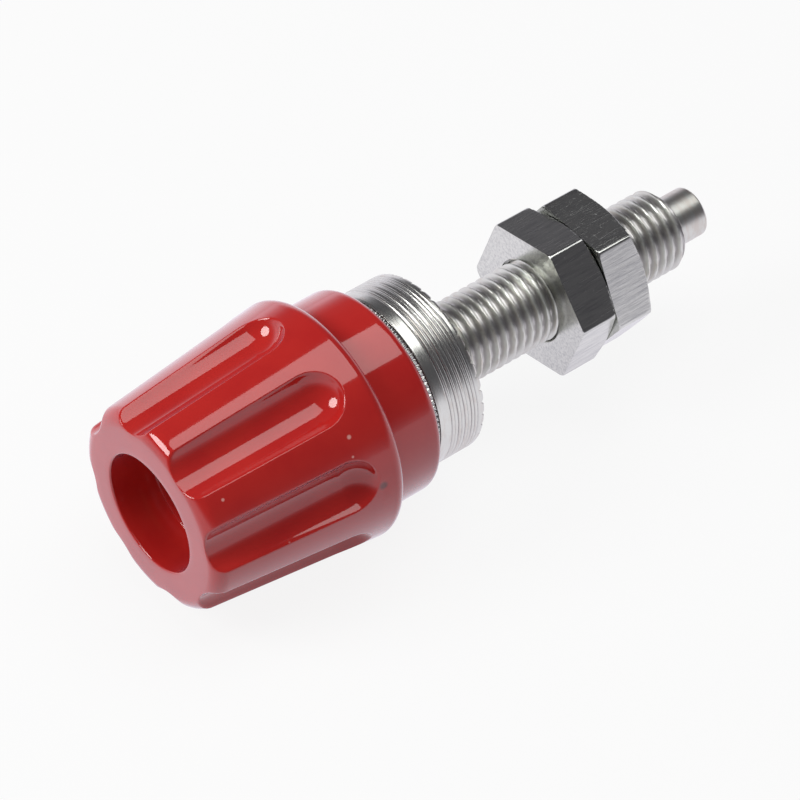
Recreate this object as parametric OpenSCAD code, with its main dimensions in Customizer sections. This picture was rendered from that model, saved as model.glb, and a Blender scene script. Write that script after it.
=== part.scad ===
// Panel binding post with a fluted screw knob.
// The post's axis lies along Y: the knob faces -Y and the threaded tail points along +Y.
// The origin is on the axis, in the plane where the collar seats on the panel.
// Every revolved piece is drawn standing on Z, with its front downwards, and lie_down() turns Z into Y.

/* [Post] */
// Nominal diameter of the rear stud's thread
stud_d = 6; // [5:0.5:8]
// Length of the threaded stud behind the collar
stud_len = 21.35; // [18:0.05:40]
// Length of the chamfer at the stud's end
stud_chamfer = 0.5; // [0.2:0.1:0.8]
// Diameter of the plain tail pin
tail_d = 3.68; // [2.5:0.02:4]
// Length of the tail pin
tail_len = 2.7; // [1:0.1:6]
// Chamfer at the tail pin's end
tail_chamfer = 0.15; // [0.05:0.05:0.4]
// Diameter of the metal collar that seats on the panel
collar_d = 13; // [12:0.1:14.4]
// Length of the metal collar
collar_len = 4.4; // [4:0.1:8]
// Rounding of the collar's rear edge
collar_round = 0.3; // [0.1:0.05:0.5]
// Width of the finely knurled band at the collar's front
knurl_band = 0.6; // [0.4:0.1:1]
// Width of the smooth band between the knurl and the turned rings
smooth_band = 0.8; // [0.4:0.1:1.2]
// Number of turned rings on the collar
turned_rings = 9; // [4:1:11]
// Depth of the grooves between the turned rings
ring_groove = 0.08; // [0.04:0.01:0.12]
// Number of face teeth on the collar's seat
teeth = 40; // [24:1:48]
// Depth of the notches between the face teeth
tooth_depth = 0.35; // [0.2:0.05:0.6]
// Radial length of the face teeth
tooth_reach = 1.1; // [0.6:0.1:1.6]
// Diameter of the boss that carries the insulating ring
boss_d = 10.4; // [9.6:0.1:11]
// Outside diameter of the front tube's thread
tube_d = 8; // [7.6:0.1:8.2]
// Length of the front tube ahead of the boss
tube_len = 8.9; // [8.5:0.1:9.2]
// Chamfer at the front tube's end
tube_edge = 0.4; // [0.2:0.1:0.6]

/* [Sockets] */
// Diameter of the plug socket in the front tube
socket_d = 4; // [3.6:0.1:4.4]
// Depth of the plug socket, down to the end of its straight wall
socket_depth = 16; // [14.5:0.1:17]
// Width of the countersink at the plug socket's mouth
socket_lip = 0.4; // [0.2:0.1:0.6]
// Diameter of the cross hole for a bare wire
wire_d = 3.5; // [2.5:0.1:3.8]
// Depth of the countersink at each end of the wire hole
wire_lip = 0.5; // [0.4:0.05:0.7]
// Distance from the boss to the near edge of that countersink
wire_edge = 0.2; // [0.1:0.05:0.6]

/* [Knob] */
// Length of the knob
knob_len = 14.5; // [14.2:0.1:18]
// Diameter of the knob at its front face, before rounding
knob_front_d = 14.5; // [14:0.1:15.6]
// Largest diameter of the knob, near its rear edge
knob_rear_d = 17.5; // [17:0.1:20]
// Rounding of the knob's front edge
knob_front_round = 1.1; // [0.4:0.1:1.3]
// Rounding of the knob's rear edge
knob_rear_round = 0.8; // [0.3:0.1:1]
// Diameter of the knob's front opening
mouth_d = 8.6; // [8.5:0.1:9.2]
// Rounding of the front opening's lip
mouth_round = 0.3; // [0.1:0.05:0.5]
// Depth of the front opening down to its inner step
mouth_depth = 3.3; // [2:0.1:4.5]
// Radial width of the step inside the front opening
mouth_step = 0.2; // [0.1:0.05:0.24]
// Angle by which the knob is turned when it is screwed home
knob_turned = 14; // [0:1:44]

/* [Flutes] */
// Number of grip flutes around the knob
flutes = 8; // [5:1:9]
// Radius of the round-nosed cutter that makes a flute
flute_r = 2.3; // [1.9:0.1:2.8]
// Depth of a flute at the knob's front face
flute_front_depth = 0.95; // [0.5:0.05:1.1]
// Depth of a flute where its round end begins
flute_rear_depth = 1.3; // [0.7:0.05:1.4]
// Distance from the knob's rear face to where a flute's round end begins
flute_stop = 4.3; // [3.8:0.1:6]

/* [Knob insert] */
// Outside diameter of the metal insert in the knob
bush_d = 11.2; // [10.6:0.1:11.4]
// Length of the metal insert
bush_len = 9.2; // [8.6:0.1:9.5]
// Width of the groove that keys the insert in the knob
key_w = 1.6; // [1:0.1:2.4]
// Depth of that groove
key_depth = 0.5; // [0.3:0.05:0.7]

/* [Base ring] */
// Outside diameter of the insulating ring
ring_d = 15; // [14.6:0.1:16.4]
// Length of the insulating ring
ring_len = 4; // [3:0.1:8]
// Rounding of the ring's rear edge
ring_rear_round = 0.6; // [0.2:0.05:0.8]
// Rounding of the ring's front edge
ring_front_round = 0.25; // [0.1:0.05:0.5]

/* [Nuts] */
// Width across the flats of both nuts
nut_af = 10; // [9.5:0.1:13]
// Thickness of each nut
nut_t = 3.2; // [2.4:0.1:6]
// Slope of the nuts' corner chamfers, in degrees
nut_slope = 25; // [15:1:35]
// Width of the countersink in a nut's bore
nut_sink = 0.45; // [0.2:0.05:0.8]
// Distance from the collar's seat to the front nut
nut_place = 9.3; // [2:0.1:10]
// Angle of a corner of the front nut above the horizontal
front_nut_turned = 10; // [0:1:59]
// Angle of a corner of the rear nut above the horizontal
rear_nut_turned = 56; // [0:1:59]

/* [Fits] */
// Radial clearance of a thread's plain stand-in
thread_fit = 0.05; // [0.02:0.01:0.1]
// Radial clearance round the insert and in its key
mould_fit = 0.05; // [0.02:0.01:0.1]
// Radial clearance of the insulating ring on its boss
press_fit = 0.02; // [0.01:0.01:0.05]
// Gap left between faces that bear on each other
face_gap = 0.05; // [0.02:0.01:0.1]

/* [Hidden] */
$fn = 96;
over = 1;               // how far a cutter runs past the face that it opens
start = 0.01;           // how far a countersink's cutter starts outside its face
drill_point = 118;      // full angle at the bottom of a drilled hole
notch_share = 0.6;      // share of the tooth pitch that a notch takes at the seat
nut_face_inset = 0.05;  // how far a nut's round face lies inside its flats

// Places along the axis: 0 is the collar's seat and the knob lies at negative values.
collar_front = -collar_len;
boss_front = collar_front - ring_len;
tube_front = boss_front - tube_len;
knob_rear = boss_front - face_gap;
knob_front = knob_rear - knob_len;
bush_front = knob_rear - bush_len;
wire_place = boss_front - wire_edge - wire_lip - wire_d / 2;

// Knob: one straight taper, so its radius at any distance behind the front face is known.
taper_len = knob_len - knob_rear_round;
taper = atan((knob_rear_d - knob_front_d) / 2 / taper_len);
function knob_r(along) = knob_front_d / 2 + along * tan(taper);

// Points of a round stretch of a profile, from angle a0 to a1 about centre c.
function arc(c, r, a0, a1, steps = 8) =
    [for (i = [0 : steps]) let (a = a0 + (a1 - a0) * i / steps) c + r * [cos(a), sin(a)]];

// Points of V-shaped grooves cut into a cylinder of radius r, each one pitch wide.
function grooves(r, from, count, pitch, depth) =
    [for (i = [0 : count - 1], k = [0 : 1]) [r - k * depth, from + (i + 0.5 + k / 2) * pitch]];

module lie_down() {
    rotate([-90, 0, 0]) children();
}

// A hole along the axis, from one place to another.
module bore(d, from, to) {
    translate([0, 0, from]) cylinder(d = d, h = to - from);
}

// ---- Post: turned from one bar, nickel plated ----

module collar_profile() {
    r = collar_d / 2;
    rings_from = collar_front + knurl_band + smooth_band;
    pitch = (-tooth_depth - collar_round - rings_from) / turned_rings;
    polygon(concat(
        [[0, collar_front], [r - ring_groove, collar_front],
         [r - ring_groove, collar_front + knurl_band], [r, collar_front + knurl_band]],
        grooves(r, rings_from - pitch / 2, turned_rings, pitch, ring_groove),
        arc([r - collar_round, -collar_round], collar_round, 0, 90),
        [[0, 0]]));
}

module front_profile() {
    polygon([
        [0, tube_front], [tube_d / 2 - tube_edge, tube_front], [tube_d / 2, tube_front + tube_edge],
        [tube_d / 2, boss_front], [boss_d / 2, boss_front], [boss_d / 2, collar_front + over],
        [0, collar_front + over]]);
}

module rear_profile() {
    polygon([
        [0, -over], [stud_d / 2, -over], [stud_d / 2, stud_len - stud_chamfer],
        [stud_d / 2 - stud_chamfer, stud_len], [tail_d / 2, stud_len],
        [tail_d / 2, stud_len + tail_len - tail_chamfer],
        [tail_d / 2 - tail_chamfer, stud_len + tail_len], [0, stud_len + tail_len]]);
}

// One notch between two face teeth: a V cut radially into the seat's outer edge.
module tooth_notch() {
    half = notch_share / 2 * PI * collar_d / teeth;
    translate([collar_d / 2 - tooth_reach, 0, 0])
        rotate([90, 0, 90])
            linear_extrude(height = tooth_reach + over)
                polygon([[-half, 0], [0, -tooth_depth], [half, 0], [half, over], [-half, over]]);
}

module plug_socket() {
    floor_at = tube_front + socket_depth;
    bore(socket_d, tube_front - over, floor_at);
    translate([0, 0, floor_at])
        cylinder(d1 = socket_d, d2 = 0, h = socket_d / 2 / tan(drill_point / 2));
    translate([0, 0, tube_front - start])
        cylinder(r1 = socket_d / 2 + socket_lip, r2 = socket_d / 2, h = socket_lip + start);
}

// The cross hole for a wire, opened out at 45 degrees at both ends.
module wire_hole() {
    wall_end = tube_d / 2 - wire_lip;
    translate([0, 0, wire_place]) {
        rotate([0, 90, 0]) cylinder(d = wire_d, h = 2 * wall_end + start, center = true);
        for (side = [0, 180]) rotate([0, 90, side]) translate([0, 0, wall_end])
            cylinder(r1 = wire_d / 2, r2 = wire_d / 2 + wire_lip + over, h = wire_lip + over);
    }
}

module post() {
    color("gainsboro") lie_down() difference() {
        union() {
            rotate_extrude() front_profile();
            rotate_extrude() collar_profile();
            rotate_extrude() rear_profile();
        }
        plug_socket();
        wire_hole();
        for (i = [0 : teeth - 1]) rotate([0, 0, 360 * i / teeth]) tooth_notch();
    }
}

// ---- Base ring: red insulating ring pressed on the boss ----

module base_ring() {
    r = ring_d / 2;
    bore_r = boss_d / 2 + press_fit;
    color("firebrick") lie_down() rotate_extrude() polygon(concat(
        [[bore_r, boss_front]],
        arc([r - ring_front_round, boss_front + ring_front_round], ring_front_round, -90, 0),
        arc([r - ring_rear_round, collar_front - ring_rear_round], ring_rear_round, 0, 90),
        [[bore_r, collar_front]]));
}

// ---- Knob insert: threaded metal bush, moulded into the knob and keyed there ----

module bush_outline(grow) {
    r = bush_d / 2 + grow;
    key_mid = (bush_front + knob_rear) / 2;
    key_half = key_w / 2 - grow;
    front = bush_front - grow;
    polygon([
        [0, front], [r, front],
        [r, key_mid - key_half], [r - key_depth, key_mid - key_half],
        [r - key_depth, key_mid + key_half], [r, key_mid + key_half],
        [r, knob_rear + grow], [0, knob_rear + grow]]);
}

module knob_bush() {
    color("goldenrod") lie_down() difference() {
        rotate_extrude() bush_outline(0);
        bore(tube_d + 2 * thread_fit, bush_front - over, knob_rear + over);
    }
}

// ---- Knob: red moulding with eight round-ended flutes ----

// The radius is carried straight through both roundings, so the taper meets them at a tangent.
module knob_profile() {
    rear_r = knob_r(taper_len);
    front_c = [knob_r(knob_front_round) - knob_front_round / cos(taper),
               knob_front + knob_front_round];
    rear_c = [rear_r - knob_rear_round, knob_rear - knob_rear_round];
    polygon(concat(
        [[0, knob_front]],
        arc(front_c, knob_front_round, -90, -taper),
        arc(rear_c, knob_rear_round, -taper, 90),
        [[0, knob_rear]]));
}

// The path of a ball-nosed cutter: it comes in from the front, sinks a little and stops short of the rear.
module flute_cutter() {
    run = knob_len - flute_stop;
    front_r = knob_r(0) - flute_front_depth + flute_r;
    rear_r = knob_r(run) - flute_rear_depth + flute_r;
    lean = atan((rear_r - front_r) / run);
    translate([rear_r, 0, knob_front + run]) {
        sphere(r = flute_r);
        rotate([0, 180 + lean, 0]) cylinder(r = flute_r, h = run / cos(lean) + 2 * over);
    }
}

module mouth() {
    r = mouth_d / 2;
    step_r = r - mouth_step;
    rotate_extrude() polygon(concat(
        [[0, knob_front - over], [r + mouth_round, knob_front - over]],
        arc([r + mouth_round, knob_front + mouth_round], mouth_round, 270, 180),
        [[r, knob_front + mouth_depth], [step_r, knob_front + mouth_depth],
         [step_r, bush_front + over], [0, bush_front + over]]));
}

module knob() {
    color("red") lie_down() difference() {
        rotate_extrude() knob_profile();
        for (i = [0 : flutes - 1]) rotate([0, 0, -knob_turned + 360 * i / flutes]) flute_cutter();
        mouth();
        rotate_extrude() bush_outline(mould_fit);
        bore(bush_d + 2 * mould_fit, knob_rear - over, knob_rear + over);
    }
}

// ---- Nuts: two thin hexagon nuts locked against each other ----

module nut(place, turned) {
    chamfer_r = nut_af / 2 - nut_face_inset;
    corner_r = nut_af / 2 / cos(30);
    slope_h = (corner_r + over - chamfer_r) * tan(nut_slope);
    bore_d = stud_d + 2 * thread_fit;
    translate([0, 0, place]) rotate([0, 0, -turned]) difference() {
        intersection() {
            cylinder(r = corner_r, h = nut_t, $fn = 6);
            rotate_extrude() polygon([
                [0, 0], [chamfer_r, 0], [corner_r + over, slope_h],
                [corner_r + over, nut_t - slope_h], [chamfer_r, nut_t], [0, nut_t]]);
        }
        bore(bore_d, -over, nut_t + over);
        for (end = [0, 1]) translate([0, 0, end * nut_t]) mirror([0, 0, end])
            translate([0, 0, -start])
                cylinder(d1 = bore_d + 2 * nut_sink, d2 = bore_d, h = nut_sink + start);
    }
}

module front_nut() {
    color("silver") lie_down() nut(nut_place, front_nut_turned);
}

module rear_nut() {
    color("silver") lie_down() nut(nut_place + nut_t + face_gap, rear_nut_turned);
}

post();
base_ring();
knob_bush();
knob();
front_nut();
rear_nut();
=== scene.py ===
# %% [markdown]
# # A panel binding post, dressed for its portrait
# The frame holds the plain solids of a binding post: a turned metal post, a red knob on a
# brass insert, a red insulating ring and two hexagon nuts. This lesson builds the surfaces
# that an eye expects on them: threads, knurls, tool marks, soft mould edges and gloss.
# The post lies along Y. The knob faces -Y, the stud points along +Y and Z is up.

# %% The frame
from math import atan, cos, pi, radians, sin, tan

import bpy
import numpy as np
from mathutils import Matrix, Quaternion, Vector


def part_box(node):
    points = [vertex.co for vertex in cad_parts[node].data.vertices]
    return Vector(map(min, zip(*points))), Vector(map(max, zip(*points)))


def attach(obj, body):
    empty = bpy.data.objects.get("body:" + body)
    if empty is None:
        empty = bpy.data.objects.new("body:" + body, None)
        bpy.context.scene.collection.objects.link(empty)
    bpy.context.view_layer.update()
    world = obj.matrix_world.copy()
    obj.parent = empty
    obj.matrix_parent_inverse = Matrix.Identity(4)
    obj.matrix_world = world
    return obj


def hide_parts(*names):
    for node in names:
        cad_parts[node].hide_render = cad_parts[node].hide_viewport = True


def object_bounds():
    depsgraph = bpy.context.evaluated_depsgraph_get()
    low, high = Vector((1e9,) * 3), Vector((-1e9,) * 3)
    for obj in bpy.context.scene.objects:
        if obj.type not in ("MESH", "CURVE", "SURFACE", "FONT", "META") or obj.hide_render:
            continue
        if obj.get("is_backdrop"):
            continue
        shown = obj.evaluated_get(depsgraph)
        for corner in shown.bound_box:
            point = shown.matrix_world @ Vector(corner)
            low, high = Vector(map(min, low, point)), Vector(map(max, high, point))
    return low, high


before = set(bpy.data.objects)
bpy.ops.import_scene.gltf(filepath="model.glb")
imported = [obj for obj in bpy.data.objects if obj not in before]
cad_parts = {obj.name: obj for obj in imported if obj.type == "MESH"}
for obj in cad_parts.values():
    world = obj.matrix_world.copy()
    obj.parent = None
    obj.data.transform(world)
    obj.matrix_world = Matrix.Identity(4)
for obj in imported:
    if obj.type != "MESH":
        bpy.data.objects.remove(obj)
cad_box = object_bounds()
MM = 0.001
print("nodes:", sorted(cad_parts))

# %% [markdown]
# ## Reading the sizes
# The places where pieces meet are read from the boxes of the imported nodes, so the dressed
# part keeps to the frame. One helper returns the two ends of a node along Y and another its
# radius, both in millimetres. Other sizes are named where they are first needed.


# %% Places along the axis
def ends(node):
    low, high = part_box(node)
    return low[1] / MM, high[1] / MM


def radius(node):
    low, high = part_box(node)
    return (high[0] - low[0]) / 2 / MM


knob_front, knob_rear = ends("knob")
ring_front, ring_rear = ends("base_ring")
bush_front, bush_rear = ends("knob_bush")
tube_front, tail_end = ends("post")
front_nut, rear_nut = ends("front_nut"), ends("rear_nut")
print(f"knob {knob_front:.2f} to {knob_rear:.2f}, nuts at {front_nut[0]:.2f} and {rear_nut[0]:.2f}")

# %% [markdown]
# ## The camera
# The portrait is taken from above the knob's side, with a long lens, so the parts far from
# the camera shrink only a little. The camera's three directions are written out as vectors:
# to its right, upwards and forwards. They make the columns of its rotation, and the knob's
# mouth is the point that its distances are measured to.

# %% Camera
AIM = Vector((-15.988, -7.231, 255.74))  # from camera to the mouth: right, up and forwards
RIGHT = Vector((0.6287, 0.7777, 0.0))
UP = Vector((-0.5428, 0.4388, 0.7161))
FORWARD = Vector((-0.5569, 0.4502, -0.6980))
MOUTH = Vector((0.0, -22.63, 0.0))
SENSOR_WIDTH, FOCAL_LENGTH = 36.0, 177.8

lens = bpy.data.cameras.new("portrait_lens")
lens.sensor_width, lens.lens = SENSOR_WIDTH, FOCAL_LENGTH
lens.clip_start, lens.clip_end = 0.01, 20.0
camera = bpy.data.objects.new("portrait_camera", lens)
bpy.context.scene.collection.objects.link(camera)
place = (MOUTH - AIM.x * RIGHT - AIM.y * UP - AIM.z * FORWARD) * MM
turn = Matrix((RIGHT, UP, -FORWARD)).transposed()
camera.matrix_world = Matrix.Translation(place) @ turn.to_4x4()
bpy.context.scene.camera = camera
bpy.context.scene.view_settings.view_transform = "Standard"
print("camera stands", round(place.length, 3), "m from the seat")

# %% [markdown]
# ## Writing shaders as sums
# A material is a small calculation. One class wraps an output socket, and the usual signs
# add Math nodes, so a mask can be written as `1 - (a * b)`. Colours are mixed by a node of
# their own kind, and one method adds any other node.


# %% Socket arithmetic
class Wire:
    """An output socket of a shader tree. Arithmetic on it adds Math nodes."""

    def __init__(self, tree, out=None):
        self.tree, self.out = tree, out

    def add(self, kind, settings=None, values=None, take=0):
        """Adds a node of any kind: its settings first, then its sockets' values or links."""
        node = self.tree.nodes.new(kind)
        for name, value in (settings or {}).items():
            setattr(node, name, value)
        for name, value in (values or {}).items():
            if isinstance(value, Wire):
                self.tree.links.new(value.out, node.inputs[name])
            else:
                node.inputs[name].default_value = value
        return Wire(self.tree, node.outputs[take] if node.outputs else None)

    def also(self, socket):
        """Another output, by name, of the node that this wire comes from."""
        return Wire(self.tree, self.out.node.outputs[socket])

    def math(self, operation, *values):
        return self.add("ShaderNodeMath", {"operation": operation}, dict(enumerate(values)))

    def __add__(self, other):
        return self.math("ADD", self, other)

    def __sub__(self, other):
        return self.math("SUBTRACT", self, other)

    def __rsub__(self, other):
        return self.math("SUBTRACT", other, self)

    def __mul__(self, other):
        return self.math("MULTIPLY", self, other)

    def __pow__(self, other):
        return self.math("POWER", self, other)

    __radd__, __rmul__ = __add__, __mul__

    def step(self, low, high):
        """0 up to low, 1 from high, and smooth between."""
        return self.add("ShaderNodeMapRange", {"interpolation_type": "SMOOTHSTEP"},
                        {"Value": self, "From Min": low, "From Max": high})

    def mix(self, first, second):
        """A colour: first where this mask is 0 and second where it is 1."""
        return self.add("ShaderNodeMix", {"data_type": "RGBA"}, {0: self, 6: first, 7: second}, 2)

    def ramp(self, stops):
        """A grey ramp through (position, level) stops."""
        grey = self.add("ShaderNodeValToRGB", values={"Fac": self})
        marks = grey.out.node.color_ramp.elements
        while len(marks) < len(stops):
            marks.new(0.5)
        for mark, (at, level) in zip(marks, stops):
            mark.position, mark.color = at, rgb(level, level, level)
        return grey


def rgb(red, green, blue):
    return (red, green, blue, 1.0)


print("signs that add a node:", "+ - * **")

# %% [markdown]
# ## Where a point is
# Tool marks follow the way a piece was cut. On a turned piece they are circles round the
# axis, so they depend on the distance from the axis and the place along it. On drawn bar
# they run along the axis. The position wires give millimetres in the part's own frame.


# %% Positions in millimetres
class Place:
    """A point's coordinates in a material, in millimetres, and noise laid along them."""

    def __init__(self, tree):
        coordinate = Wire(tree).add("ShaderNodeTexCoord", take=3)
        split = coordinate.add("ShaderNodeSeparateXYZ", values={0: coordinate})
        self.x, self.y, self.z = (split.also(axis) * (1 / MM) for axis in "XYZ")
        self.r = (self.x * self.x + self.z * self.z) ** 0.5
        self.tree = tree

    def noise(self, x, y, z, detail=2.0, roughness=0.5):
        """Noise from 0 to 1 whose grain is one unit of the three wires or numbers."""
        at = Wire(self.tree).add("ShaderNodeCombineXYZ", values={0: x, 1: y, 2: z})
        return at.add("ShaderNodeTexNoise", values={
            "Vector": at, "Scale": 1.0, "Detail": detail, "Roughness": roughness})

    def grain(self, across, along=None, detail=2.0, roughness=0.5):
        """Noise with so many grains a millimetre across the axis and along it."""
        along = across if along is None else along
        return self.noise(self.x * across, self.y * along, self.z * across, detail, roughness)

    def spot(self, point, size):
        """1 at a point in millimetres, fading to 0 at the given distance."""
        dx, dy, dz = self.x - point[0], self.y - point[1], self.z - point[2]
        away = (dx * dx + dy * dy + dz * dz) ** 0.5
        return 1 - away.step(0.35 * size, size)


print("marks are laid out in millimetres; one unit of the scene holds", round(1 / MM))

# %% [markdown]
# ## Finishes and fine relief
# A finish is described by a function that gets the place and returns what each socket of
# the Principled shader receives: a number or a wire. Fine relief, such as scratches, is far
# too small for geometry. A bump tilts the surface's normal as if the height were there.


# %% Finishes
def finish(name, paint):
    """A material: paint(place) returns the values of the shader's sockets."""
    material = bpy.data.materials.new(name)
    material.use_nodes = True
    tree = material.node_tree
    shader = tree.nodes["Principled BSDF"]
    for socket, value in paint(Place(tree)).items():
        if isinstance(value, Wire):
            tree.links.new(value.out, shader.inputs[socket])
        else:
            shader.inputs[socket].default_value = value
    print("finish:", name, "with", len(tree.nodes), "nodes")
    return material


def bump(height, depth, under=None):
    """A normal from heights of 0 to 1 that stand for a depth in millimetres."""
    values = {"Height": height, "Distance": depth * MM, "Strength": 1.0}
    if under is not None:
        values["Normal"] = under
    return height.add("ShaderNodeBump", values=values)


# %% [markdown]
# ## The light
# The portrait is lit as small shiny parts are. A wide soft box hangs over the part, turned
# a little about the vertical, and shows as pale bands on the red plastic. A smaller and
# stronger lamp stands in front of the knob, on the left, and shows as white glints in the
# round ends of the flutes and on the edges. Both are plain lamps that reflections show, and
# together they bring the level to where a colour looks as it is written.


# %% Lamps
def lamp(name, shape, towards, distance, size, radiance, spin=0.0):
    """A lamp that faces the part from a direction, of a given size and radiance."""
    data = bpy.data.lights.new(name, "AREA")
    data.shape, data.size, data.size_y = shape, size[0] * MM, size[1] * MM
    area = data.size * data.size_y * (pi / 4 if shape == "ELLIPSE" else 1.0)
    data.energy = radiance * pi * area
    piece = bpy.data.objects.new(name, data)
    bpy.context.scene.collection.objects.link(piece)
    piece.location = Vector(towards).normalized() * distance * MM
    facing = piece.location.to_track_quat("Z", "Y") @ Quaternion((0.0, 0.0, 1.0), radians(spin))
    piece.rotation_euler = facing.to_euler()
    piece.visible_camera = False
    print(f"{name}: {data.energy:.4f} W")


lamp("overhead_soft_box", "RECTANGLE", towards=(0.08, 0.185, 1.0), distance=600.0,
     size=(420.0, 480.0), radiance=2.5, spin=32.0)
lamp("front_lamp", "ELLIPSE", towards=(-0.32, -0.72, 0.62), distance=300.0,
     size=(150.0, 150.0), radiance=9.0)

# %% [markdown]
# ## The table
# The table is a real diffuse floor, so the part's shadow falls on it. For the camera, and
# for what the part mirrors, much of it is a plain white glow, which keeps the background
# pale without brighter lamps. What the part mirrors is tinted a trace of lilac, as white
# paper under cool lamps is.

# %% Table
WHITE, LILAC_WHITE = rgb(1.0, 1.0, 1.0), rgb(1.0, 0.965, 1.07)
CARD = rgb(0.6, 0.6, 0.6)
GLOW_SEEN, GLOW_MIRRORED = 1.03, 1.32
SHARE_SEEN, SHARE_MIRRORED = 0.86, 0.6
TABLE_REACH, TABLE_GAP = 3.0, 0.05  # half its width in metres, its distance below in mm


def table_top(height):
    mesh = bpy.data.meshes.new("table_top")
    corners = [(sx * TABLE_REACH, sy * TABLE_REACH, height)
               for sx, sy in ((-1, -1), (1, -1), (1, 1), (-1, 1))]
    mesh.from_pydata(corners, [], [(0, 1, 2, 3)])
    table = bpy.data.objects.new("table_top", mesh)
    bpy.context.scene.collection.objects.link(table)
    table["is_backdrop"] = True
    return table


def rays(tree):
    """1 for rays from the camera, and 1 for rays mirrored or bent by the part."""
    light = Wire(tree).add("ShaderNodeLightPath")
    glossy, bent = light.also("Is Glossy Ray"), light.also("Is Transmission Ray")
    return light.also("Is Camera Ray"), glossy.math("MAXIMUM", glossy, bent)


def white_table():
    """Diffuse card for the light, with a share of white glow for the camera and mirrors."""
    material = bpy.data.materials.new("white_table")
    material.use_nodes = True
    tree = material.node_tree
    tree.nodes.clear()
    seen, mirrored = rays(tree)
    card = Wire(tree).add("ShaderNodeBsdfDiffuse", values={"Color": CARD})
    glow = Wire(tree).add("ShaderNodeEmission", values={
        "Color": mirrored.mix(WHITE, LILAC_WHITE),
        "Strength": seen * GLOW_SEEN + mirrored * GLOW_MIRRORED})
    both = Wire(tree).add("ShaderNodeMixShader", values={
        0: seen * SHARE_SEEN + mirrored * SHARE_MIRRORED, 1: card, 2: glow})
    both.add("ShaderNodeOutputMaterial", values={"Surface": both})
    return material


table = table_top(cad_box[0][2] - TABLE_GAP * MM)
table.data.materials.append(white_table())
print("table at", round(table.data.vertices[0].co.z / MM, 2), "mm")

# %% [markdown]
# ## The room
# The room is white behind the part, where the camera looks. What the part mirrors is bright
# near the horizon and dark higher up, and the horizon stands a little higher on the left.
# That dark ceiling is what gives polished metal its contrast.

# %% Room
HORIZON_LEAN, HORIZON_LIFT = 0.1, 0.09
ROOM_STOPS = ((0.0, 1.0), (0.09, 0.9), (0.17, 0.58), (0.28, 0.27), (0.4, 0.11), (0.6, 0.07), (1.0, 0.07))
ROOM_MIRRORED, ROOM_LIGHT = 1.15, 0.25

world = bpy.data.worlds.new("studio_room")
bpy.context.scene.world = world
world.use_nodes = True
world.node_tree.nodes.clear()
seen, mirrored = rays(world.node_tree)
look = Wire(world.node_tree).add("ShaderNodeTexCoord")
towards = look.add("ShaderNodeSeparateXYZ", values={0: look})
height = towards.also("Z") + towards.also("X") * HORIZON_LEAN + HORIZON_LIFT
room = height.ramp(ROOM_STOPS) * ROOM_MIRRORED
level = seen + mirrored * room + (1 - seen) * (1 - mirrored) * ROOM_LIGHT
sky = Wire(world.node_tree).add("ShaderNodeBackground", values={
    "Color": mirrored.mix(WHITE, LILAC_WHITE), "Strength": level})
sky.add("ShaderNodeOutputWorld", values={"Surface": sky})
print("room: mirrored from", ROOM_MIRRORED, "low down to",
      round(ROOM_STOPS[-1][1] * ROOM_MIRRORED, 3), "overhead")

# %% [markdown]
# ## Glossy red moulding
# The knob and the ring are moulded in a hard red plastic with a polished surface. A clear
# coat over the coloured body gives the two layers of gloss that such a surface shows. The
# colour is almost even, with faint clouds from the pigment. The surface carries a very low
# swell from the mould, which makes the edges of reflections waver a little. A few pale
# specks of dust sit on the knob. A small sink mark gets a dark spot of painted shade, for
# the dark that the dent shows.

# %% Red plastic
RED, DEEP_RED = rgb(0.50, 0.020, 0.016), rgb(0.465, 0.016, 0.014)
# The second colour on the next line is painted shade for the dark spot in the sink mark.
DUST, SINK_SHADE = rgb(0.75, 0.33, 0.30), rgb(0.10, 0.012, 0.012)
LILAC = rgb(0.75, 0.68, 1.0)
SINK_SHADE_POINT, SINK_SHADE_SIZE, SINK_SHADE_SHARE = (8.54, -10.31, 1.25), 0.42, 0.8
SPECKS = [((6.72, -11.7, 5.17), 0.2), ((7.41, -11.94, 4.06), 0.12), ((5.76, -21.13, 4.72), 0.15),
          ((7.84, -17.49, 0.16), 0.16), ((-1.42, -16.45, 7.83), 0.13), ((4.14, -13.96, 7.11), 0.12)]


def red_plastic(at):
    clouds = at.grain(0.35, detail=3.0)
    colour = clouds.step(0.35, 0.7).mix(RED, DEEP_RED)
    dust = 0.0
    for point, size in SPECKS:
        dust = at.spot(point, size) + dust
    colour = dust.math("MINIMUM", dust, 1.0).mix(colour, DUST)
    # Painted shade: a dark spot laid into the colour at the sink mark.
    colour = (at.spot(SINK_SHADE_POINT, SINK_SHADE_SIZE) * SINK_SHADE_SHARE).mix(colour, SINK_SHADE)
    swell, orange_peel = at.grain(0.8, detail=1.0), at.grain(9.0)
    return {
        "Base Color": colour, "IOR": 1.33, "Roughness": 0.07 + clouds * 0.05,
        "Coat Weight": 1.0, "Coat IOR": 1.46, "Coat Roughness": 0.03,
        "Sheen Weight": 0.18, "Sheen Roughness": 0.35, "Sheen Tint": LILAC,
        "Normal": bump(swell, 0.006, bump(orange_peel, 0.0006)),
    }


gloss_red = finish("glossy_red", red_plastic)

# %% [markdown]
# ## Nickel plate on turned pieces
# All the metal that shows is plated with nickel, a slightly warm white metal. What differs
# is how it was cut underneath. Turned pieces carry circles, fine and uneven, which depend
# only on the distance from the axis and the place along it. The bottom of a groove gets a
# darker colour, painted shade for the light that its walls keep out, so the colour also
# depends on the radius.

# %% Turned nickel
NICKEL, WARM_NICKEL = rgb(0.68, 0.69, 0.65), rgb(0.62, 0.59, 0.54)
# The second colour of the next pair is painted shade for the floors of grooves.
DARK_NICKEL, GROOVE_SHADE_NICKEL = rgb(0.47, 0.48, 0.47), rgb(0.54, 0.53, 0.52)


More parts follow.
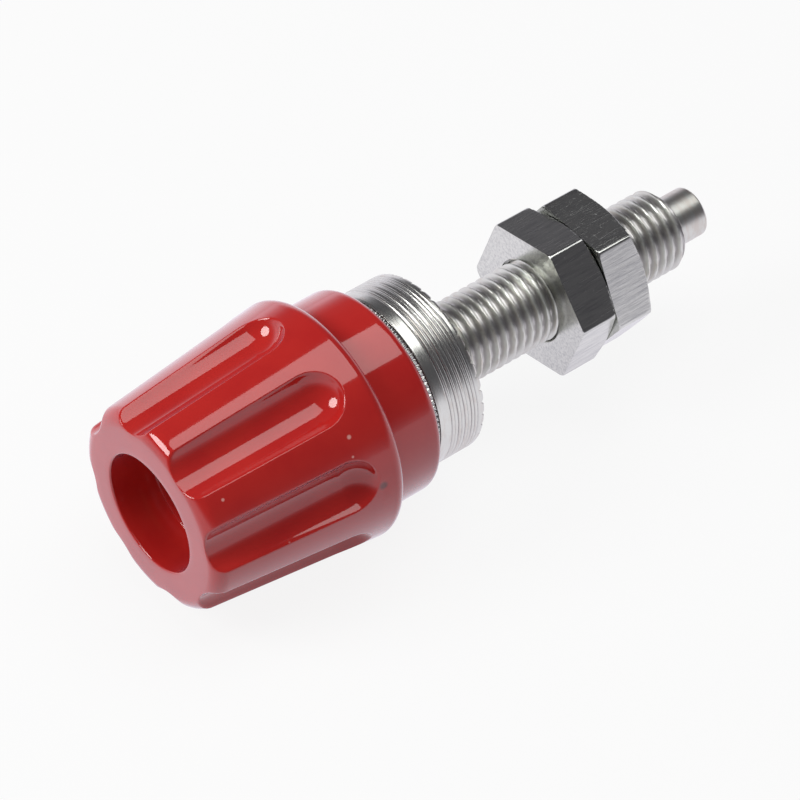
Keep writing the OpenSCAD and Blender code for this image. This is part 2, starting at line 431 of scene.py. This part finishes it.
def turned_nickel(marks, depth, rough, groove, along=1.0):
    """Plate over a turned surface: marks per millimetre, their depth and the roughness.

    The groove is a pair of radii, its floor and its crest, and shade is painted down there.
    On a thread the marks follow the helix, so there they barely change along the axis.
    """
    floor, crest = groove

    def paint(at):
        broad = at.noise(at.r * marks, at.y * (marks * along), 0.06 * at.x, 3.0, 0.7)
        fine = at.noise(at.r * (marks * 4.0), at.y * (marks * along * 4.0), 0.15 * at.z, 2.0, 0.6)
        stain = at.grain(1.1, along=3.0, detail=3.0)
        # Painted shade: the floor of a groove gets a darker colour.
        sunk = at.r.step(floor - 0.25, floor - 0.05) * (1 - at.r.step(floor, crest))
        plate = (broad * stain).step(0.2, 0.42).mix(NICKEL, WARM_NICKEL)
        return {
            "Base Color": sunk.mix(plate, GROOVE_SHADE_NICKEL), "Metallic": 1.0,
            "Roughness": rough + stain * 0.10 + fine * 0.06,
            "Normal": bump(fine, depth * 0.4, bump(broad, depth)),
        }
    return paint


thread_nickel = finish("thread_nickel", turned_nickel(9.0, 0.004, 0.26, (2.6, 2.86), along=0.03))
collar_nickel = finish("collar_nickel", turned_nickel(5.0, 0.006, 0.17, (6.4, 6.49)))

# %% [markdown]
# ## Nickel plate on the nuts
# Nuts are cut from drawn bar, so their flats carry straight scratches along the axis. The
# same noise is stretched along Y for broad lines and for fine ones. Where a fine scratch is
# strong the surface is also rougher, and there it picks up light as a pale streak.


# %% Drawn nickel
def drawn_nickel(at):
    lines = at.grain(5.0, along=0.35, detail=4.0, roughness=0.75)
    scratches = at.grain(20.0, along=0.3, roughness=0.7)
    pits = at.grain(2.5, detail=4.0, roughness=0.7).step(0.66, 0.72)
    return {
        "Base Color": (lines * 0.8 + pits * 0.3).step(0.3, 0.6).mix(NICKEL, DARK_NICKEL),
        "Metallic": 1.0,
        "Roughness": 0.13 + lines * 0.08 + pits * 0.1 + scratches.step(0.58, 0.75) * 0.2,
        "Normal": bump(scratches, 0.0018, bump(lines, 0.006, bump(1 - pits, 0.004))),
    }


nut_nickel = finish("nut_nickel", drawn_nickel)

# %% [markdown]
# ## Brass
# The insert in the knob is plain turned brass, a little dull from handling.

# %% Turned brass
BRASS, DULL_BRASS = rgb(0.74, 0.53, 0.24), rgb(0.50, 0.33, 0.14)


def turned_brass(at):
    rings = at.noise(at.r * 6.0, at.y * 6.0, 0.3 * at.x, 3.0, 0.6)
    patina = at.grain(0.9, detail=4.0)
    return {
        "Base Color": patina.step(0.4, 0.75).mix(BRASS, DULL_BRASS), "Metallic": 1.0,
        "Roughness": 0.24 + patina * 0.16, "Normal": bump(rings, 0.006),
    }


brass = finish("turned_brass", turned_brass)

# %% [markdown]
# ## Skins from rings of points
# Every piece here is round or nearly so. Its outline is walked once, as rows of places
# along the axis and radii, and each row becomes a ring of points. Where a piece isn't
# round, the ring's radii or places change with the angle. Neighbouring rings are joined
# with quads, and the last ring joins the first, so each skin is closed.


# %% Ring skins
def skin(name, along, radii, angles, crease=32.0):
    """A closed piece from arrays of places along Y, radii and angles, one row per ring."""
    rows, columns = radii.shape
    x, z = radii * np.cos(angles), radii * np.sin(angles)
    points = np.stack([x, along, z], axis=2).reshape(-1, 3) * MM
    row, column = np.meshgrid(np.arange(rows), np.arange(columns), indexing="ij")
    after, beside = (row + 1) % rows, (column + 1) % columns
    quads = np.stack([row * columns + column, row * columns + beside,
                      after * columns + beside, after * columns + column], axis=2).reshape(-1, 4)
    mesh = bpy.data.meshes.new(name)
    mesh.from_pydata(points.tolist(), [], quads.tolist())
    mesh.validate()
    mesh.shade_smooth()
    mesh.set_sharp_from_angle(angle=radians(crease))
    piece = bpy.data.objects.new(name, mesh)
    bpy.context.scene.collection.objects.link(piece)
    print(f"{name}: {len(mesh.polygons)} quads")
    return piece


def turned(name, outline, columns, crease=32.0, shape=None):
    """A turned piece. shape(along, radii, angles) may change the rings' places and radii."""
    along, radii = (np.repeat(np.array(outline)[:, i, None], columns, axis=1) for i in (0, 1))
    angles = np.broadcast_to(np.arange(columns) * 2 * pi / columns, radii.shape)
    if shape is not None:
        along, radii = shape(along, radii, angles)
    return skin(name, along, radii, angles, crease)


# %% [markdown]
# ### Helpers for outlines
# Three small functions write most of an outline: a round corner, a run of evenly spaced
# places and a fade. A fourth hands a finished piece to the frame: its finish, the body that
# it moves with, and the plain solid that it stands for, which it hides.


# %% Outline helpers
def corner(centre, size, start, stop, steps=6):
    """Points of a round corner. Angle 0 points outwards and 90 to the rear."""
    return [(centre[0] + size * sin(a), centre[1] + size * cos(a))
            for a in np.radians(np.linspace(start, stop, steps + 1))]


def between(start, stop, step):
    """Places from start to stop, no more than a step apart."""
    return np.linspace(start, stop, int(np.ceil(abs(stop - start) / step)) + 1)


def fade(along, start, stop):
    """0 up to start and 1 from stop, along the axis in either direction."""
    share = np.clip((along - start) / (stop - start), 0.0, 1.0)
    return share * share * (3 - 2 * share)


def put(piece, body, finish_used, slot, *nodes):
    """Gives a piece its finish and its body, and hides the nodes that it stands for. The slot is not used.
    """
    piece.data.materials.append(finish_used)
    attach(piece, body)
    if nodes:
        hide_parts(*nodes)


print("a quarter round of 6 steps has", len(corner((0, 0), 1, 0, 90)), "points")

# %% [markdown]
# ## The knob
# The knob is a taper with eight flutes. Each flute is the path of a ball-nosed cutter that
# sinks a little as it goes back and stops short of the rear, which leaves a round end. A
# cutter that simply bites would leave a razor edge. The mould has softened edges, and they
# are what catches the thin bright lines, so the taper and the flute are joined by a smooth
# minimum: near the edge it takes a little off both.

# %% Knob sizes
KNOB_FRONT_R, TAPER_END = 7.25, 13.7
KNOB_REAR_R = radius("knob")
SLOPE = (KNOB_REAR_R - KNOB_FRONT_R) / TAPER_END
FLUTES, FLUTE_R, FLUTE_RUN = 8, 2.3, 10.2
FRONT_BITE, REAR_BITE = 0.95, 1.3  # how deep the cutter goes at both ends of its run
FLUTE_FROM = KNOB_FRONT_R - FRONT_BITE + FLUTE_R
FLUTE_TO = KNOB_FRONT_R + FLUTE_RUN * SLOPE - REAR_BITE + FLUTE_R
FIRST_FLUTE, PITCH_ANGLE = radians(14.0), 2 * pi / FLUTES
EDGE = 0.24
print(f"taper {SLOPE:.4f}, largest radius {KNOB_REAR_R:.2f} mm")


# %% The cutter's path
def taper_radius(depth):
    return KNOB_FRONT_R + depth * SLOPE


def flute_centre(depth):
    return FLUTE_FROM + (FLUTE_TO - FLUTE_FROM) * np.minimum(depth, FLUTE_RUN) / FLUTE_RUN


def flute_floor(depth, offset):
    """Radius at which a flute's cutter passes, at a depth and an angle from its middle."""
    centre, past = flute_centre(depth), np.maximum(depth - FLUTE_RUN, 0.0)
    left = FLUTE_R**2 - past**2 - (centre * np.sin(offset)) ** 2
    return np.where(left > 0, centre * np.cos(offset) - np.sqrt(np.maximum(left, 0.0)), np.inf)


def flute_half_angle(depth):
    """Angle from a flute's middle to its edge."""
    centre, past = flute_centre(depth), np.maximum(depth - FLUTE_RUN, 0.0)
    body = taper_radius(depth)
    cosine = (body**2 + centre**2 - FLUTE_R**2 + past**2) / (2 * body * centre)
    return np.arccos(np.clip(cosine, -1.0, 1.0))


def soft_minimum(first, second, blend):
    near = np.maximum(blend - np.abs(first - second), 0.0) / blend
    return np.minimum(first, second) - near * near * blend / 4


print("half a flute spans", round(np.degrees(flute_half_angle(FLUTE_RUN)), 1), "degrees at its deepest")

# %% [markdown]
# ### Columns that follow the flutes
# A plain grid would need millions of quads to draw a crisp flute edge. Here the columns
# lean with the edges instead: each flute's width decides where its columns go, and most of
# them crowd round the edge. Past the flute's end they keep a small spread.

# %% Knob columns
BEFORE_EDGE, AFTER_EDGE = (2.4, 1.7, 1.25, 0.95, 0.7, 0.45, 0.2), (0.0, 0.2, 0.45, 0.8, 1.4, 2.4)
FULL_HALF, LEAST_HALF = radians(8.0), radians(1.6)


def sector_angles(half):
    """Angles of one flute's columns from its middle to the middle of the next land."""
    near = np.radians(BEFORE_EDGE) * min(1.0, half / FULL_HALF)
    inside = np.append(np.linspace(0.0, half - near[0], 7)[:-1], half - near)
    outside = half + np.radians(AFTER_EDGE)
    land = np.linspace(outside[-1], PITCH_ANGLE / 2, 6)[1:]
    return np.concatenate([inside, outside, land])


def knob_angles(depth):
    half = max(float(flute_half_angle(np.clip(depth, 0.0, TAPER_END))), LEAST_HALF)
    right = sector_angles(half)
    sector = np.concatenate([-right[:0:-1], right[:-1]])
    return np.concatenate([FIRST_FLUTE + PITCH_ANGLE * i + sector for i in range(FLUTES)])


print("columns round the knob:", len(knob_angles(0.0)))

# %% [markdown]
# ### The knob's section
# The section is walked from the shoulder inside the mouth, out over the front face, back
# along the taper and round the rear edge into the cavity that holds the insert. Rows are
# closest where the flutes end, because the surface turns fastest there.

# %% Knob outline
MOUTH_R, MOUTH_DEPTH, MOUTH_STEP, MOUTH_LIP = 4.3, 3.3, 0.2, 0.14
FRONT_ROUND, REAR_ROUND = 1.1, 0.8
GRIP_LENGTH, MOULD_FIT, FACE_GAP = 4.6, 0.05, 0.05


def mouth_rows(hall):
    inner = MOUTH_R - MOUTH_STEP
    rows = [(hall - FACE_GAP, inner), (MOUTH_DEPTH + 0.04, inner), (MOUTH_DEPTH, inner + 0.03)]
    rows += [(MOUTH_DEPTH, MOUTH_R - 0.03), (MOUTH_DEPTH - 0.04, MOUTH_R), (2.0, MOUTH_R), (0.8, MOUTH_R)]
    return rows + corner((MOUTH_LIP, MOUTH_R + MOUTH_LIP), MOUTH_LIP, 180, 270)


def face_and_taper_rows(lean):
    edge = taper_radius(FRONT_ROUND) - FRONT_ROUND / cos(lean)
    rows = [(0.0, r) for r in (4.9, 5.3, 5.7)]
    rows += [(FRONT_ROUND - FRONT_ROUND * cos(a), edge + FRONT_ROUND * sin(a))
             for a in np.linspace(0.0, pi / 2 - lean, 14)]
    depths = [*between(1.3, 9.7, 0.2), *between(9.78, 12.5, 0.055), 12.7, 12.9, 13.1, 13.3, 13.5]
    return rows + [(d, taper_radius(d)) for d in depths]


def rear_rows(length, lean, hall):
    cavity_r = radius("knob_bush") + MOULD_FIT
    middle = (length - REAR_ROUND, KNOB_REAR_R - REAR_ROUND)
    rows = [(middle[0] + REAR_ROUND * sin(a), middle[1] + REAR_ROUND * cos(a))
            for a in np.linspace(-lean, pi / 2, 9)]
    rows += [(length, r) for r in (7.4, 6.6, cavity_r + 0.2, cavity_r)]
    return rows + [(length - 0.2, cavity_r), (hall + GRIP_LENGTH, cavity_r), (hall - FACE_GAP, cavity_r)]


def knob_outline():
    """(depth from the front face, radius) all round the knob's section, mouth first."""
    lean, hall = atan(SLOPE), bush_front - knob_front
    rows = mouth_rows(hall) + face_and_taper_rows(lean) + rear_rows(knob_rear - knob_front, lean, hall)
    return np.array(rows)


print("rows along the knob:", len(knob_outline()))

# %% [markdown]
# ### The knob itself
# The taper and the flutes meet row by row. A small sink mark, where the plastic shrank over
# a thick place, is a shallow dip that fades out as a bell curve.

# %% Knob
SINK_PLACE, SINK_ANGLE, SINK_WIDTH, SINK_DEPTH, SINK_R = -10.27, radians(7.9), 0.30, 0.10, 8.6
FLUTED_R, FLUTED_END = 6.1, 13.6  # the flutes cut only what lies outside and in front of these


def knob():
    rows = knob_outline()
    angles = np.array([knob_angles(d) for d in rows[:, 0]])
    offset = (angles - FIRST_FLUTE + PITCH_ANGLE / 2) % PITCH_ANGLE - PITCH_ANGLE / 2
    depth, body = (np.repeat(rows[:, i, None], angles.shape[1], axis=1) for i in (0, 1))
    outside = (body > FLUTED_R) & (depth < FLUTED_END)
    radii = np.where(outside, soft_minimum(body, flute_floor(depth, offset), EDGE), body)
    along = depth + knob_front
    sideways = SINK_R * ((angles - SINK_ANGLE + pi) % (2 * pi) - pi)
    dip = SINK_DEPTH * np.exp(-(np.hypot(along - SINK_PLACE, sideways) / SINK_WIDTH) ** 2)
    return skin("knob_moulding", along, np.where(outside, radii - dip, radii), angles, 40.0)


put(knob(), "knob", gloss_red, "red_plastic", "knob")

# %% [markdown]
# ## The insulating ring
# A plain red ring sits between the knob and the metal collar. It is turned from one outline,
# with a small round at its front edge and a larger one at the rear.

# %% Insulating ring
RING_BORE_R, RING_FRONT_ROUND, RING_REAR_ROUND = 5.22, 0.25, 0.6


def ring_outline():
    outer = radius("base_ring")
    rows = [(ring_front, r) for r in (RING_BORE_R, 6.2, 7.0)]
    rows += corner((ring_front + RING_FRONT_ROUND, outer - RING_FRONT_ROUND), RING_FRONT_ROUND, -90, 0)
    rows += [(y, outer) for y in between(ring_front + 0.5, ring_rear - 0.8, 0.5)]
    rows += corner((ring_rear - RING_REAR_ROUND, outer - RING_REAR_ROUND), RING_REAR_ROUND, 0, 90, 8)
    return rows + [(ring_rear, 6.4), (ring_rear, RING_BORE_R), (ring_front + 2.0, RING_BORE_R)]


put(turned("insulating_ring", ring_outline(), 192), "post", gloss_red, "red_plastic", "base_ring")

# %% [markdown]
# ## The brass insert
# The insert is hidden while the knob is home. A groove round it lets the moulding grip it.
# Its bore is threaded, and here the thread is a row of rings cut outwards from the bore, so
# that nothing reaches the post's thread.

# %% Brass insert
INSERT_BORE_R, INSERT_THREAD_DEPTH, INSERT_LIP = 4.05, 0.35, 0.5
GRIP_FROM, GRIP_TO, GRIP_DEPTH = 3.8, 5.4, 0.5
SCREW_PITCH = 1.25


def insert_outline():
    outer, mouth_r = radius("knob_bush"), INSERT_BORE_R + INSERT_LIP
    rows = [(bush_front, mouth_r), (bush_front, outer)]
    rows += [(bush_front + GRIP_FROM, outer), (bush_front + GRIP_FROM, outer - GRIP_DEPTH)]
    rows += [(bush_front + GRIP_TO, outer - GRIP_DEPTH), (bush_front + GRIP_TO, outer)]
    rows += [(bush_rear, outer), (bush_rear, mouth_r)]
    teeth = np.arange(bush_rear - INSERT_LIP, bush_front + INSERT_LIP, -SCREW_PITCH / 4)
    return rows + [(y, INSERT_BORE_R + INSERT_THREAD_DEPTH * (i % 4 in (1, 2))) for i, y in enumerate(teeth)]


put(turned("knob_insert", insert_outline(), 128), "insert", brass, "brass_insert", "knob_bush")

# %% [markdown]
# ## Threads
# A thread is a groove that climbs by one pitch a turn. Each point asks how far round the
# pitch it stands, from its place along the axis and its angle, and sinks by the shape of
# the cut there: a narrow crest, flanks and a wider, rounded root. Where the tool enters or
# leaves, the depth fades.

# %% Thread shape
CREST_SHARE, FLANK_SHARE = 0.14, 0.60


def thread_cut(along, angles, pitch, depth):
    """How far a thread's surface lies under its crest."""
    phase = (along / pitch - angles / (2 * pi)) % 1.0
    away = np.abs(phase - 0.5) * 2
    cut = np.clip((away - CREST_SHARE) / FLANK_SHARE, 0.0, 1.0)
    return depth * cut * cut * (3 - 2 * cut) * 0.5 + depth * cut * 0.5


print("a thread of depth 1 sinks by", thread_cut(0.0, 0.0, 1.0, 1.0), "at its root")

# %% [markdown]
# ## The threaded stud and its tail
# The stud carries a fine M6 thread, for the nuts and for a ring terminal. It starts after a
# short plain stretch behind the collar and runs out at the chamfered end, where the plain
# tail pin begins. Sixteen rows a pitch are enough for the flanks to look straight.

# %% Stud and tail
STUD_R, STUD_END, STUD_PITCH, STUD_CUT, STUD_CHAMFER = 3.0, 21.35, 0.75, 0.44, 0.5
TAIL_R, TAIL_ROUND, TAIL_FILLET = 1.84, 0.15, 0.1
ROWS_A_PITCH = 16


def stud_outline():
    rows = [(-0.4, r) for r in (1.0, 2.2, STUD_R)]
    rows += [(y, STUD_R) for y in between(-0.2, STUD_END - STUD_CHAMFER, STUD_PITCH / ROWS_A_PITCH)]
    rows += [(STUD_END - STUD_CHAMFER + t, STUD_R - t) for t in between(0.05, STUD_CHAMFER, 0.05)]
    rows += [(STUD_END, r) for r in (2.2, TAIL_R + TAIL_FILLET)]
    rows += corner((STUD_END + TAIL_FILLET, TAIL_R + TAIL_FILLET), TAIL_FILLET, 270, 180, 3)[1:]
    rows += [(y, TAIL_R) for y in between(STUD_END + 0.25, tail_end - TAIL_ROUND, 0.12)]
    rows += corner((tail_end - TAIL_ROUND, TAIL_R - TAIL_ROUND), TAIL_ROUND, 0, 90, 4)
    return rows + [(tail_end, r) for r in (1.3, 0.8, 0.3, 0.001)] + [(0.0, 0.001)]


def stud_thread(along, radii, angles):
    cut = thread_cut(along, angles, STUD_PITCH, STUD_CUT) * fade(along, 0.9, 2.0)
    threaded = (along > 0.5) & (along < STUD_END - 0.001) & (radii > 2.3)
    return along, np.where(threaded, np.minimum(radii, STUD_R - cut), radii)


stud = turned("threaded_stud", stud_outline(), 128, 40.0, stud_thread)
put(stud, "post", thread_nickel, "plated_metal", "post")

# %% [markdown]
# ## The collar
# The collar is one turned piece with three kinds of surface: a fine knurl next to the red
# ring, a smooth bright band, and turned rings left by a pointed tool. Its rear face is a
# crown of small teeth that bite into the panel. Knurl and teeth need many columns and the
# rings don't, so they are made as three skins that meet edge to edge.

# %% Knurled band
COLLAR_R, COLLAR_FRONT, COLLAR_BORE_R = 6.5, -4.4, 5.15
KNURL_END, RINGS_FROM, SEAT_FROM = -3.8, -3.0, -0.5
KNURLS, KNURL_R, KNURL_DEPTH, KNURL_FADE = 96, 6.42, 0.07, 0.15


def knurl_outline():
    rows = [(COLLAR_FRONT, r) for r in (COLLAR_BORE_R, 6.2, 6.33)]
    rows += [(y, KNURL_R) for y in between(COLLAR_FRONT + 0.06, KNURL_END - 0.04, 0.06)]
    return rows + [(KNURL_END, r) for r in (6.36, 6.0, COLLAR_BORE_R)]


def knurl(along, radii, angles):
    ridge = KNURL_DEPTH * np.cos(angles * KNURLS)
    middle = (fade(along, COLLAR_FRONT, COLLAR_FRONT + KNURL_FADE)
              * fade(along, KNURL_END, KNURL_END - KNURL_FADE))
    return along, np.where(radii > 6.4, radii + ridge * middle, radii)


put(turned("collar_knurl", knurl_outline(), KNURLS * 8, 50.0, knurl),
    "post", collar_nickel, "plated_metal")

# %% [markdown]
# ### The smooth band and the turned rings
# The rings are V grooves of uneven depth, as a hand-fed tool leaves them. Each one is a
# short list of shares: how far along its pitch a row lies, and how far down the groove.

# %% Smooth band and turned rings
GROOVE_DEPTHS = (0.09, 0.06, 0.11, 0.07, 0.10, 0.06, 0.11, 0.09, 0.08)
GROOVE_SHAPE = ((0.0, 0.0), (0.25, 0.0), (0.45, 0.55), (0.58, 1.0), (0.66, 1.0), (0.85, 0.3))
COLLAR_INNER_R = 5.1


def rings_outline():
    rows = [(KNURL_END, COLLAR_INNER_R), (KNURL_END, COLLAR_R - 0.03), (KNURL_END + 0.04, COLLAR_R)]
    rows += [(y, COLLAR_R) for y in between(KNURL_END + 0.2, RINGS_FROM - 0.05, 0.12)]
    pitch = (SEAT_FROM - RINGS_FROM) / len(GROOVE_DEPTHS)
    for i, depth in enumerate(GROOVE_DEPTHS):
        rows += [(RINGS_FROM + (i + share) * pitch, COLLAR_R - depth * sunk) for share, sunk in GROOVE_SHAPE]
    return rows + [(SEAT_FROM, COLLAR_R), (SEAT_FROM, COLLAR_INNER_R)]


put(turned("collar_rings", rings_outline(), 256, 50.0), "post", collar_nickel, "plated_metal")

# %% [markdown]
# ### The toothed seat
# The teeth keep the post from turning while its nuts are tightened. The seat's rows are the
# ones of a plain rounded edge, and each notch pushes them forwards, into the collar, as
# deep as its V is there.

# %% Toothed seat
TEETH, TOOTH_DEPTH, TOOTH_REACH, NOTCH_HALF_SHARE, EDGE_ROUND = 40, 0.35, 1.1, 0.3, 0.3


def seat_outline():
    rows = [(SEAT_FROM, COLLAR_INNER_R), (SEAT_FROM, COLLAR_R), (SEAT_FROM + 0.07, COLLAR_R)]
    rows += corner((-EDGE_ROUND, COLLAR_R - EDGE_ROUND), EDGE_ROUND, 0, 90)
    inner = COLLAR_R - TOOTH_REACH
    rows += [(0.0, r) for r in (6.0, 5.7, inner + 0.02, inner - 0.06, 4.6, 3.8, 2.9)]
    return rows + [(SEAT_FROM, 2.9)]


def notches(along, radii, angles):
    tooth = 2 * pi / TEETH
    away = np.abs((angles + tooth / 2) % tooth - tooth / 2) / tooth
    vee = TOOTH_DEPTH * np.maximum(0.0, 1 - away / NOTCH_HALF_SHARE)
    cut = np.where(radii > COLLAR_R - TOOTH_REACH, vee, 0.0)
    return np.where(along > SEAT_FROM + 0.08, np.minimum(along, -cut), along), radii


put(turned("collar_seat", seat_outline(), TEETH * 20, 25.0, notches),
    "post", collar_nickel, "plated_metal")

# %% [markdown]
# ## The front of the post
# Under the knob the post is a threaded tube with a plug socket down its middle and a cross
# hole for a wire, which the knob's insert clamps. The tube is a skin like the others.

# %% Front tube
TUBE_R, TUBE_CUT, BOSS_R = 4.0, 0.7, 5.2
SOCKET_R, SOCKET_END, SOCKET_LIP, DRILL_TIP = 2.0, -1.3, 0.4, 1.2
TUBE_FACE_R, TUBE_REAR = 3.6, -0.1


def tube_outline():
    rows = [(SOCKET_END + DRILL_TIP, 0.001), (SOCKET_END, SOCKET_R)]
    rows += [(y, SOCKET_R) for y in between(SOCKET_END - 0.5, tube_front + 0.6, 0.8)]
    rows += [(tube_front + SOCKET_LIP, SOCKET_R), (tube_front, SOCKET_R + SOCKET_LIP)]
    rows += [(tube_front, TUBE_FACE_R)] + [(tube_front + t, TUBE_FACE_R + t) for t in between(0.1, 0.3, 0.1)]
    rows += [(y, TUBE_R) for y in between(tube_front + 0.4, ring_front - 0.05, SCREW_PITCH / ROWS_A_PITCH)]
    rows += [(ring_front, TUBE_R), (ring_front, BOSS_R), (COLLAR_FRONT - 0.2, BOSS_R)]
    return rows + [(TUBE_REAR, r) for r in (BOSS_R, 2.0, 0.001)]


def tube_thread(along, radii, angles):
    run_out = fade(along, ring_front - 0.3, ring_front - 1.3)
    cut = thread_cut(along, angles, SCREW_PITCH, TUBE_CUT) * run_out
    threaded = (along < ring_front - 0.01) & (radii > 3.5)
    return along, np.where(threaded, np.minimum(radii, TUBE_R - cut), radii)


tube = turned("front_tube", tube_outline(), 96, 40.0, tube_thread)

# %% [markdown]
# ### The wire hole
# A hole across the axis isn't a ring, so it is cut from the tube with a boolean. The result
# is kept as the piece's own mesh, and the drill is removed.

# %% Wire hole
WIRE_R, WIRE_PLACE, DRILL_LENGTH, DRILL_SIDES = 1.75, -10.85, 12.0, 64


def wire_drill():
    """A closed cylinder along X that is used as a cutter."""
    turns = np.arange(DRILL_SIDES) * 2 * pi / DRILL_SIDES
    caps = [[(end * DRILL_LENGTH / 2, WIRE_PLACE + WIRE_R * cos(a), WIRE_R * sin(a)) for a in turns]
            for end in (-1, 1)]
    first = list(range(DRILL_SIDES))
    second = [i + DRILL_SIDES for i in first]
    faces = [(i, j, j + DRILL_SIDES, i + DRILL_SIDES) for i, j in zip(first, first[1:] + first[:1])]
    mesh = bpy.data.meshes.new("wire_drill")
    points = (np.array(caps).reshape(-1, 3) * MM).tolist()
    mesh.from_pydata(points, [], faces + [tuple(reversed(first)), tuple(second)])
    drill = bpy.data.objects.new("wire_drill", mesh)
    bpy.context.scene.collection.objects.link(drill)
    return drill


def cut_away(piece, cutter):
    """Cuts one piece from another and keeps the result as the piece's own mesh."""
    cut = piece.modifiers.new("cut", "BOOLEAN")
    cut.operation, cut.object, cut.solver = "DIFFERENCE", cutter, "EXACT"
    graph = bpy.context.evaluated_depsgraph_get()
    mesh = bpy.data.meshes.new_from_object(piece.evaluated_get(graph))
    piece.modifiers.clear()
    piece.data = mesh
    bpy.data.objects.remove(cutter)
    print(f"{piece.name}: {len(mesh.polygons)} faces after the cut")


cut_away(tube, wire_drill())
put(tube, "post", thread_nickel, "plated_metal")

# %% [markdown]
# ## The hexagon nuts
# A hexagon's outline is a radius that grows towards each corner. The rear end is chamfered
# on a lathe, and the chamfer meets the flats in the curved lines that many nuts show. The
# front end is parted off square, so its outline stays a plain hexagon. A soft minimum rounds
# the lines, and the corners are eased by the same means.

# %% The hexagon's outline
NUT_AF, CORNER_EASE, NUT_SIDES = 10.0, 0.16, 6
SIDE_ANGLE = 2 * pi / NUT_SIDES
CROWDING = (0.0, 0.25, 0.5, 0.8, 1.2, 1.8, 2.8, 4.5, 7.0, 10.0, 14.0, 18.0, 22.0, 26.0, 30.0)


def hexagon(angles):
    """Radius of a hexagon with slightly rounded corners, its first flat at angle 0."""
    offset = (angles + SIDE_ANGLE / 2) % SIDE_ANGLE - SIDE_ANGLE / 2
    first = NUT_AF / 2 / np.cos(offset)
    second = NUT_AF / 2 / np.cos(np.abs(offset) - SIDE_ANGLE)
    return soft_minimum(first, second, CORNER_EASE)


def nut_angles():
    """Columns round a nut, counted from a corner, that crowd towards the six corners."""
    half = np.radians(CROWDING)
    sector = np.concatenate([-half[:0:-1], half[:-1]])
    return np.concatenate([i * SIDE_ANGLE + sector for i in range(NUT_SIDES)])


print("columns round a nut:", len(nut_angles()))

# %% [markdown]
# ### Rows of a nut
# The rows run from the bore over the front face, along the flats and back over the rear
# face. Two cones limit the radius: a tiny bevel at the front and the chamfer at the rear.
# Each nut was turned to its own angle when the two were locked together.

# %% Nuts
NUT_CHAMFER_R, NUT_SLOPE, CHAMFER_BLEND = 4.95, tan(radians(25.0)), 0.05
NUT_BORE_R, NUT_SINK, NUT_BEVEL = 3.02, 0.15, 0.12
END_ROWS = np.array([0.0, 0.02, 0.05, 0.09, 0.14, 0.20, 0.27, 0.34, 0.42])
FRONT_TURN, REAR_TURN = 10.0, 56.0


def nut(name, place, turned_by):
    thickness = place[1] - place[0]
    middle = np.linspace(END_ROWS[-1], thickness - END_ROWS[-1], 6)[1:-1]
    outer = np.concatenate([END_ROWS, middle, thickness - END_ROWS[::-1]])
    round_nut = nut_angles()
    bevel = NUT_AF / 2 / cos(SIDE_ANGLE / 2) - NUT_BEVEL + outer[:, None]
    chamfer = NUT_CHAMFER_R + (thickness - outer)[:, None] / NUT_SLOPE
    flats = soft_minimum(hexagon(round_nut + SIDE_ANGLE / 2), np.minimum(bevel, chamfer), CHAMFER_BLEND)
    face = [NUT_BORE_R, NUT_BORE_R + NUT_SINK, 4.0, 4.5]
    front, rear = (np.repeat(np.array(side)[:, None], len(round_nut), axis=1) for side in (face, face[::-1]))
    radii = np.concatenate([front, flats, rear])
    along = np.concatenate([[NUT_SINK, 0.0, 0.0, 0.0], outer, [thickness] * 3, [thickness - NUT_SINK]])
    places = np.repeat(place[0] + along[:, None], len(round_nut), axis=1)
    angles = np.broadcast_to(round_nut + radians(turned_by), radii.shape)
    return skin(name, places, radii, angles, 28.0)


put(nut("front_hexagon_nut", front_nut, FRONT_TURN), "front_nut", nut_nickel, "plated_nut", "front_nut")
put(nut("rear_hexagon_nut", rear_nut, REAR_TURN), "rear_nut", nut_nickel, "plated_nut", "rear_nut")

# %% [markdown]
# ## Measuring the result
# The dressed part has to fill the same box as the plain one. Both boxes are printed.

# %% Boxes
dressed_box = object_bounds()
for name, box in (("cad", cad_box), ("dressed", dressed_box)):
    print(name, [round((box[1][i] - box[0][i]) / MM, 2) for i in range(3)])
